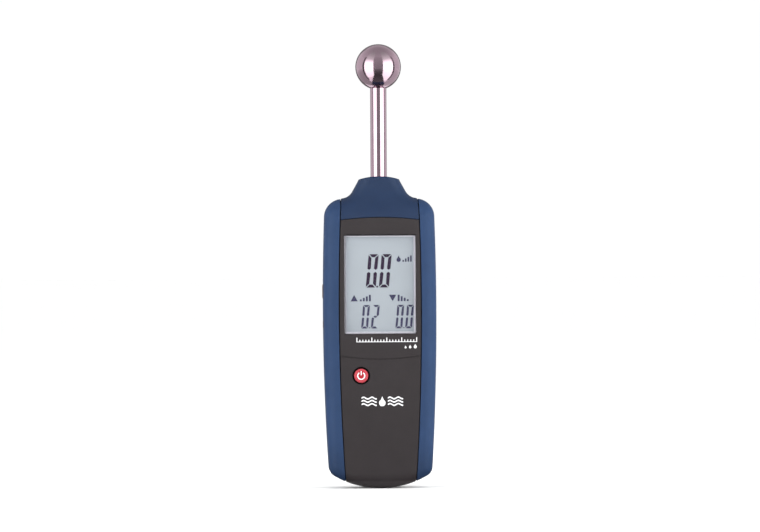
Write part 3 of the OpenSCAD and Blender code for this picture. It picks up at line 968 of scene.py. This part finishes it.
def finger_groove(z):
    """Cutter for one shallow groove across the door."""
    r, end = 1.0, FINGER_REACH
    profile = [(0, -end), (r - LIP, -end), (r, LIP - end), (r, end - LIP), (r - LIP, end), (0, end)]
    return laid(lathe(profile, 32), (0, BACK_Y + 0.45, z), "Y")


def door_panel():
    bm = body_surface()
    open_edges = [e for e in bm.edges if e.is_boundary]
    bmesh.ops.holes_fill(bm, edges=open_edges, sides=0)
    block = box((-DOOR_W / 2, DOOR_Y, -1), (DOOR_W / 2, 30, DOOR_TOP_Z))
    bm = carve(bm, [block], "INTERSECT")
    bm = carve(bm, [finger_groove(FINGER_LOW_Z + FINGER_PITCH * k) for k in range(FINGER_GROOVES)])
    half, reach = DOOR_W / 2 - 0.03, DOOR_W / 2 + TONGUE
    soften(bm, lambda p: p.y > BACK_Y - 0.02 and (abs(p.x) > half or p.z > DOOR_TOP_Z - 0.02), 0.3)
    tongues = box((-reach, DOOR_Y + 0.02, 7), (reach, DOOR_Y + TONGUE_T, DOOR_TOP_Z - 0.3))
    latch = box((-8, DOOR_Y + 0.02, DOOR_TOP_Z - 1), (8, DOOR_Y + TONGUE_T, DOOR_TOP_Z + 2))
    return joined([bm, soften(tongues, everywhere, 0.15), soften(latch, everywhere, 0.15)])


finished("front_shell", front_shell(), "dark_case", "case", ["front_case"])
finished("rear_shell", rear_shell(), "dark_case", "case", ["rear_case"])
finished("nose_shell", nose_shell(), "blue_nose", "case", ["nose_cap"])
finished("left_grip_skin", grip_skin(-1), "blue_grip", "case", ["left_grip"])
finished("right_grip_skin", grip_skin(1), "blue_grip", "case", ["right_grip"])
finished("door_panel", door_panel(), "dark_case", "door", ["battery_door"])


# ---- display


def lens():
    bm = prism(rounded(0, WINDOW_Z, WINDOW_W - 0.2, WINDOW_H - 0.2, 0.7), LENS_Y, LENS_Y + LENS_T)
    return soften(bm, everywhere, 0.15)


def glass_panel():
    low, high = (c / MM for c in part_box("lcd_panel"))
    pane = box((low.x, GLASS_Y + 0.45, low.z), (high.x, high.y, high.z))
    film = box((low.x + 0.6, GLASS_Y, low.z + 1.4), (high.x - 0.6, GLASS_Y + 0.5, high.z - 0.6))
    return joined([soften(pane, everywhere, 0.12), soften(film, everywhere, 0.06)])


def digit(x0, z0, width, height, t, lit):
    """Seven-segment figure with strokes of width t: outlines in X and Z that lean to the right."""
    cut, bar, tip = 0.2 * t, 0.86 * t, 0.4 * t
    near, far = 0.7 * t, 1.15 * t
    mid = height / 2
    above, below = mid + 0.26 * t, mid - 0.26 * t
    upper, lower = mid + bar / 2, mid - bar / 2
    top = height - cut
    shapes = {
        "a": [(cut, height), (width - cut, height), (width - t, height - bar), (t, height - bar)],
        "d": [(cut, 0), (width - cut, 0), (width - t, bar), (t, bar)],
        "f": [(0, top), (t - cut / 2, top - bar), (t, above + tip), (t / 2, above), (0, above + tip)],
        "e": [(0, cut), (t - cut / 2, bar + cut), (t, below - tip), (t / 2, below), (0, below - tip)],
    }
    shapes["b"] = [(width - x, z) for x, z in shapes["f"]]
    shapes["c"] = [(width - x, z) for x, z in shapes["e"]]
    shapes["g"] = [(near, mid), (far, upper), (width - far, upper)]
    shapes["g"] += [(width - near, mid), (width - far, lower), (far, lower)]
    lean = math.tan(math.radians(SLANT))
    return [[(x0 + x + z * lean, z0 + z) for x, z in shapes[s]] for s in lit]


def square(cx, cz, size):
    return rect(cx - size / 2, cz - size / 2, size, size)


def bars(x0, z0, heights, width, pitch):
    """Upright bars in a row."""
    return [rect(x0 + k * pitch, z0, width, h) for k, h in enumerate(heights)]


def droplet(cx, z0, height, steps=28):
    """A drop with its point up."""
    r = height * 0.33
    around = [turn(120 + 300 * k / steps) for k in range(steps + 1)]
    return [(cx + r * c, z0 + r + r * s) for c, s in around] + [(cx, z0 + height)]


def printed(name, shapes, y0, y1, slot, ink, body="case"):
    """A piece made of thin plates of ink."""
    ink_plates = joined([prism(s, y0, y1) for s in shapes])
    return finished(name, ink_plates, slot, body, materials=[ink], weighted=False)


ZERO = "abcdef"
TWO = "abged"
SLANT = 5.3
INK_Y = GLASS_Y - 0.03
# Width, height and stroke of the figures, and the heights that they and the symbols stand on
BIG = (5.3, 17.6, 1.85)
SMALL = (3.65, 12.4, 1.22)
BIG_Z = 106.05
SMALL_Z = 84.45
SYMBOL_Z = 98.8
SYMBOL_H = 3.4
RISING = (1.0, 1.8, 2.6, SYMBOL_H)

figures = [square(-1.5, BIG_Z + 0.45, 0.9)]
for x in (-7.55, -0.65):
    figures += digit(x, BIG_Z, *BIG, ZERO)

small = [square(x, SMALL_Z + 0.35, 0.6) for x in (-5.65, 12.45)]
for x, lit in ((-10.15, ZERO), (-5.0, TWO), (7.95, ZERO), (13.1, ZERO)):
    small += digit(x, SMALL_Z, *SMALL, lit)
small += [droplet(9.9, 119.5, 3.5)] + bars(11.9, 119.6, (0.9, 1.7, 2.5, 3.3), 0.85, 1.35)
for x, foot_z, tip_z, heights in (
    (-15.6, SYMBOL_Z, SYMBOL_Z + SYMBOL_H, RISING),
    (4.7, SYMBOL_Z + SYMBOL_H, SYMBOL_Z, RISING[::-1]),
):
    small.append([(x, foot_z), (x + 3.8, foot_z), (x + 1.9, tip_z)])
    small += bars(x + (4.9 if x < 0 else 4.6), SYMBOL_Z, heights, 1.0, 1.6)

finished("lens", lens(), "clear_window", "case", ["display_window"])
finished("display_glass", glass_panel(), "lcd_glass", "case", ["lcd_panel"])
printed("main_figures", figures, INK_Y, GLASS_Y + 0.02, "lcd_glass", INK)
printed("small_figures", small, INK_Y, GLASS_Y + 0.02, "lcd_glass", FAINT_INK)
# A thin dark strip along the window's top edge: painted shadow under the window's top lip.
printed("window_top_painted_shadow", [rect(-18.8, 133.4, 37.6, 0.5)], -12.64, -12.58, "lcd_glass", PAINTED_SHADE)


# ---- printed marks


def wave_strip(x0, x1, z, rise, width, steps=36):
    """A wavy line of a given width."""
    upper, lower = [], []
    for k in range(steps + 1):
        x = x0 + (x1 - x0) * k / steps
        zc = z + rise * math.sin(2 * math.pi * (x - x0) / 4.4)
        upper.append((x, zc + width / 2))
        lower.append((x, zc - width / 2))
    return lower + upper[::-1]


def tick_scale(x0, x1, z, count):
    """A graduated scale on a thin base line, with every fifth tick taller."""
    line, tick = 0.3, 0.45
    shapes = [rect(x0, z, x1 - x0, line)]
    for k in range(count + 1):
        x = x0 + (x1 - x0 - tick) * k / count
        shapes.append(rect(x, z + line, tick, 2.1 if k % 5 == 0 else 1.0))
    return shapes


def emblem():
    """A drop between stacks of wavy lines."""
    shapes = [droplet(0.75, 43.5, 5.2)]
    for z in (44.4, 46.1, 47.8):
        shapes.append(wave_strip(-10.2, -2.2, z, 0.45, 0.72))
        shapes.append(wave_strip(3.7, 11.7, z, 0.45, 0.72))
    return shapes


drops = [droplet(x, 73.9, height) for x, height in ((13.2, 1.5), (15.6, 1.9), (18.3, 2.4))]
marks = tick_scale(-12.7, 19.3, 77.3, 20) + drops + emblem()
printed("front_print", marks, FRONT_Y - 0.02, FRONT_Y + 0.02, "dark_case", PRINT)


# ---- keys


def power_cap():
    """The round key: a raised rim round a dished middle. Its flange behind the wall and its lower sides
    are painted black, as painted shade in the gap round the key.
    """
    rim = [(0, 0.45), (0.08, 0.22), (0.3, 0.06), (0.55, 0), (0.8, 0.04)]
    dish = [(1.0, 0.16), (1.25, 0.24), (2.4, 0.27), (POWER_R, 0.28)]
    profile = [(0, 10.7), (5.2, 10.7), (5.2, 11.5), (POWER_R, 11.5)]
    profile += [(POWER_R - inset, -POWER_TOP_Y - drop) for inset, drop in rim + dish]
    bm = lathe(profile, 72)
    for f in bm.faces:
        c = f.calc_center_median()
        r = math.hypot(c.x, c.y)
        if r > 2.55:
            f.material_index = 1
        # Painted shade: the flange and lower sides show black through the gap round the key.
        if c.z < 13.2 and r > 2.7:
            f.material_index = 2
    x, z = POWER
    return laid(bm, (x, 0, z))


def power_icon():
    """Outlines of a ring that is open at the top, with a short bar in the gap."""
    x, z = POWER
    gap, steps = 34, 32
    around = [turn(90 + gap + (360 - 2 * gap) * k / steps) for k in range(steps + 1)]
    outer, inner = ([(x + r * c, z + r * s) for c, s in around] for r in (2.15, 1.55))
    return [outer + inner[::-1], rounded(x, z + 1.4, 0.5, 2.2, 0.22, 4)]


def side_key(z, length, proud, side, ridged):
    """A domed key on the edge of the case, with a flange behind the wall."""
    top = side_x(z) + proud
    inner = side_x(z, GRIP_SIDE + WALL) - 0.3
    crown = [(0.12, 0.62), (0.34, 0.3), (0.7, 0.1), (1.25, 0.0)]
    bm = bmesh.new()

    def ring(inset, x):
        points = stadium(z, (length - SIDE_KEY_W) / 2, SIDE_KEY_W / 2 - inset, 16)
        return [bm.verts.new((x, py, pz)) for py, pz in points]

    rings = [ring(-0.9, inner - 0.9), ring(-0.9, inner), ring(0, inner), ring(0, top - 1.0)]
    rings += [ring(inset, top - drop * 0.8) for inset, drop in crown]
    skin(bm, rings)
    bm.faces.new(rings[0][::-1])
    bm.faces.new(rings[-1])
    if ridged:
        for v in bm.verts:
            if v.co.x > top - 1.1:
                v.co.x -= 0.28 * math.exp(-(((v.co.z - z) / 0.55) ** 2))
    bmesh.ops.recalc_face_normals(bm, faces=bm.faces)
    if side < 0:
        bmesh.ops.scale(bm, vec=(-1, 1, 1), verts=bm.verts)
        bmesh.ops.reverse_faces(bm, faces=bm.faces)
    return bm


# The third finish is painted shade for the gap round the key.
cap_finishes = [FINISH["red_key"], RED_RIM, PAINTED_SHADE]
finished("power_cap", power_cap(), "red_key", "power_button", ["power_key"], materials=cap_finishes)
ICON_Y = POWER_TOP_Y + 0.27
printed("power_symbol", power_icon(), ICON_Y - 0.05, ICON_Y + 0.1, "red_key", PRINT, "power_button")
for node_name, (key_z, key_length, key_proud, key_side, key_body) in SIDE_KEYS.items():
    cap = side_key(key_z, key_length, key_proud, key_side, node_name == "left_key_lower")
    finished(node_name + "_cap", cap, "side_key", key_body, [node_name])


# ---- probe


def ball():
    """The ball, open below where the rod goes in."""
    profile = [(0, BALL_Z + BALL_R)]
    low = -math.degrees(math.acos((ROD_R + 0.12) / BALL_R))
    steps = 56
    for k in range(1, steps + 1):
        c, s = turn(90 + (low - 90) * k / steps)
        profile.append((BALL_R * c, BALL_Z + BALL_R * s))
    r, z = profile[-1]
    profile += [(r - 0.08, z + 0.02), (r - 0.1, z + 0.6), (r - 0.1, SOCKET_Z), (0, SOCKET_Z)]
    return lathe(profile, 128)


def rod():
    """The rod, with its thinner threaded end."""
    foot, bevel, steps = ROD_LOW_Z, 0.4, 11
    profile = [(0, foot), (ROD_R - bevel, foot), (ROD_R, foot + bevel)]
    for k in range(1, steps + 1):
        profile.append((ROD_R, foot + bevel + (SOCKET_Z - foot - 0.9) * k / steps))
    profile += [(ROD_R - bevel, SOCKET_Z - 0.1), (0, SOCKET_Z - 0.1)]
    low, high = STUB_LOW_Z, foot + 0.05
    stub = [(0, low), (STUB_R - bevel, low), (STUB_R, low + bevel), (STUB_R, high), (0, high)]
    return joined([lathe(profile), lathe(stub, 48)])


for piece_name, made, finish in (("ball", ball(), FINISH["probe_steel"]), ("rod", rod(), ROD_STEEL)):
    finished(piece_name, made, "probe_steel", "case", ["probe_" + piece_name], 30, [finish], False)


# ---- foam pad


def foam_pad():
    """A strip of foam with a slightly crowned face and soft edges."""
    low, high = (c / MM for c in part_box("battery_pad"))
    bm = box(low, high)
    bmesh.ops.subdivide_edges(bm, edges=list(bm.edges), cuts=10, use_grid_fill=True)
    centre, half = (low + high) / 2, (high - low) / 2
    for v in bm.verts:
        u, w = (v.co.x - centre.x) / half.x, (v.co.z - centre.z) / half.z
        pull = 0.12 * (u**6 + w**6)
        v.co.y = centre.y + (v.co.y - centre.y) * (1 - pull)
        wobble = 0.12 * math.sin(v.co.z * 1.7) * math.cos(v.co.y * 3.1)
        if abs(u) > 0.99:
            v.co.x -= math.copysign(0.15 + wobble * 0.5, u)
        if abs(w) > 0.99:
            v.co.z -= math.copysign(0.15 + 0.06 * math.sin(v.co.x * 1.9), w)
    return bm


pad = finished("foam_pad", foam_pad(), "foam_grey", "case", ["battery_pad"], sharp=70, weighted=False)


# ---- studio


def light_panel(name, place, target, size, power):
    """A soft box that isn't seen, not even in reflections."""
    data = bpy.data.lights.new(name, "AREA")
    data.shape = "RECTANGLE"
    data.size, data.size_y = size
    data.energy = power
    obj = placed(name, data)
    obj.location = place
    obj.rotation_euler = (Vector(target) - Vector(place)).to_track_quat("-Z", "Y").to_euler()
    obj.visible_camera = False
    obj.visible_glossy = False


def sheet(name, corners, material):
    """One flat face that belongs to the studio."""
    mesh = bpy.data.meshes.new(name)
    mesh.from_pydata(corners, [], [list(range(len(corners)))])
    mesh.materials.append(material)
    obj = placed(name, mesh)
    return obj


def level_square(half, z):
    """Corners of a level square over the origin."""
    return [(x * half, y * half, z) for x, y in ((-1, -1), (1, -1), (1, 1), (-1, 1))]


def floor_finish():
    """Matt white paper."""
    n = Nodes("floor_finish")
    white = linear(255, 255, 255)
    n.set(Base_Color=n.mixed(n.noise(40, 2), scaled(white, 0.99), white))
    n.set(Roughness=0.7)
    return n.material


WHITE = (1, 1, 1, 1)

sheet("floor", level_square(40.0, 0), floor_finish())

world = bpy.data.worlds.new("studio")
bpy.context.scene.world = world
world.use_nodes = True
backdrop = world.node_tree.nodes["Background"]
backdrop.inputs["Color"].default_value = WHITE
backdrop.inputs["Strength"].default_value = 1.01

light_panel("left_box", (-0.96, -0.8, 0.48), (0, 0, 0.3), (1.2, 0.95), 11.0)
light_panel("right_box", (0.97, -0.8, 0.48), (0, 0, 0.3), (1.44, 0.95), 13.4)
for side, power in ((-1, 7.5), (1, 12.5)):
    light_panel("edge_light", (side * 1.35, -0.15, 0.3), (0, 0, 0.1), (0.5, 0.9), power)


def card(name, corners, levels, span, upright, tint=WHITE):
    """A panel that only shows in reflections.

    Its brightness runs between two levels over a span of heights, or of distances from the Z axis.
    """
    n = Nodes(name + "_finish")
    length = n.add("ShaderNodeVectorMath", operation="LENGTH")
    n.link(n.stretched(0, 0, 1) if upright else n.stretched(1, 1, 0), length.inputs[0])
    n.set(Emission_Strength=n.spread(length.outputs["Value"], *levels, *span))
    n.set(Base_Color=(0, 0, 0, 1), Emission_Color=tint, Roughness=1.0, Specular_IOR_Level=0.0)
    obj = sheet(name, corners, n.material)
    obj.visible_camera = False
    obj.visible_diffuse = False
    obj.visible_shadow = False
    obj.visible_transmission = False


def polar(degrees, distance, z):
    """A point by its direction, 0 towards the camera and 90 to the right, its distance and height."""
    c, s = turn(degrees)
    return (distance * s, -distance * c, z)


def wall_card(name, a0, a1, distance, heights, levels, tint=WHITE):
    """An upright card between two directions and two heights."""
    low, high = heights
    corners = [polar(a, distance, low) for a in (a0, a1)] + [polar(a, distance, high) for a in (a1, a0)]
    card(name, corners, levels, heights, True, tint)


def level_card(name, a0, a1, span, levels, tint=WHITE, z=0.002):
    """A level card between two directions and two distances."""
    near, far = span
    corners = [polar(a, near, z) for a in (a0, a1)] + [polar(a, far, z) for a in (a1, a0)]
    card(name, corners, levels, span, False, tint)


# Directions of the two bright boxes as the probe sees them, and of the dark flags beside them
LEFT_GLOW = (-75, -27)
RIGHT_GLOW = (24, 79)
LEFT_FLAG = (-88, -76)
RIGHT_FLAG = (79.5, 90)
FRONT_FLAG = (-27, 24)
BACK_FLAG = (148, 212)
GLOW_TINT = (0.93, 1.0, 0.95, 1)
GLOW = 4.3
FADE = 1.3
FAINT = 0.95
GLOW_AWAY = 1.25
FLOOR_Z = 0.001
CEILING = 1.6

# The dark middle of the ball: the camera's side of the room, the floor before the object and its foot
wall_card("flag_front", *FRONT_FLAG, 1.2, (FLOOR_Z, CEILING), (0.42, 0.66))
level_card("flag_floor", *FRONT_FLAG, (0.27, 1.2), (0.1, 0.4))
foot_edge = [polar(a, 0.27, 0.004) for a in FRONT_FLAG]
card("flag_foot", [(-0.075, 0.1, 0.004), *foot_edge, (0.07, 0.1, 0.004)], (0.16, 0.08), (0.0, 0.27), False)

# Behind the object and beside the bright boxes
wall_card("flag_back", *BACK_FLAG, 1.45, (FLOOR_Z, 1.3), (0.2, 0.4))
level_card("flag_behind", *BACK_FLAG, (0.35, 1.45), (0.25, 0.2))
for side, flag in (("left", LEFT_FLAG), ("right", RIGHT_FLAG)):
    wall_card("flag_" + side, *flag, 1.3, (FLOOR_Z, 1.3), (0.08, 0.35))
    level_card("flag_low_" + side, *flag, (0.16, 1.3), (0.2, 0.08))
for side, a0, a1, low in (("left", -148, -88, 0.5), ("right", 90, 148, 0.8)):
    level_card("shade_" + side, a0, a1, (0.05, 3.2), (low, 1.2))

# The bright boxes: the floor before them, the boxes themselves and their fading tops
for side, glow, near in (("left", LEFT_GLOW, 0.22), ("right", RIGHT_GLOW, 0.12)):
    level_card("glow_" + side, *glow, (near, GLOW_AWAY), (2.6, GLOW), GLOW_TINT)
    level_card("glow_near_" + side, *glow, (0.035, near), (1.25, 1.9))
    wall_card("glow_box_" + side, *glow, GLOW_AWAY, (FLOOR_Z, 0.42), (GLOW, GLOW), GLOW_TINT)
    wall_card("glow_high_" + side, *glow, GLOW_AWAY, (0.42, 1.05), (GLOW, FADE), GLOW_TINT)
    wall_card("glow_faint_" + side, *glow, GLOW_AWAY, (1.05, CEILING), (FADE, FAINT), GLOW_TINT)
    level_card("glow_top_" + side, *glow, (0.45, GLOW_AWAY), (0.6, FAINT), GLOW_TINT, CEILING - 0.002)
card("ceiling", level_square(2.6, CEILING), (0.56, 1.0), (0.5, 2.5), False)

CAMERA_DISTANCE = 2.4
VIEW_TURN = -2.0
VIEW_ROLL = -0.32
VIEW_WIDTH = 0.4029
AIM = Vector((0.00042, 0.0, 0.1174))

camera_data = bpy.data.cameras.new("camera")
camera_data.sensor_width = 36
camera_data.lens = camera_data.sensor_width * CAMERA_DISTANCE / VIEW_WIDTH
camera_data.clip_end = 100
camera = placed("camera", camera_data)
sway = math.radians(VIEW_TURN)
camera.location = AIM + Vector((math.sin(sway), -math.cos(sway), 0)) * CAMERA_DISTANCE
level = (AIM - camera.location).to_track_quat("-Z", "Y")
camera.rotation_euler = (level @ Quaternion((0, 0, 1), math.radians(VIEW_ROLL))).to_euler()
bpy.context.scene.camera = camera

bpy.context.scene.view_settings.view_transform = "Standard"
bpy.context.scene.view_settings.look = "None"
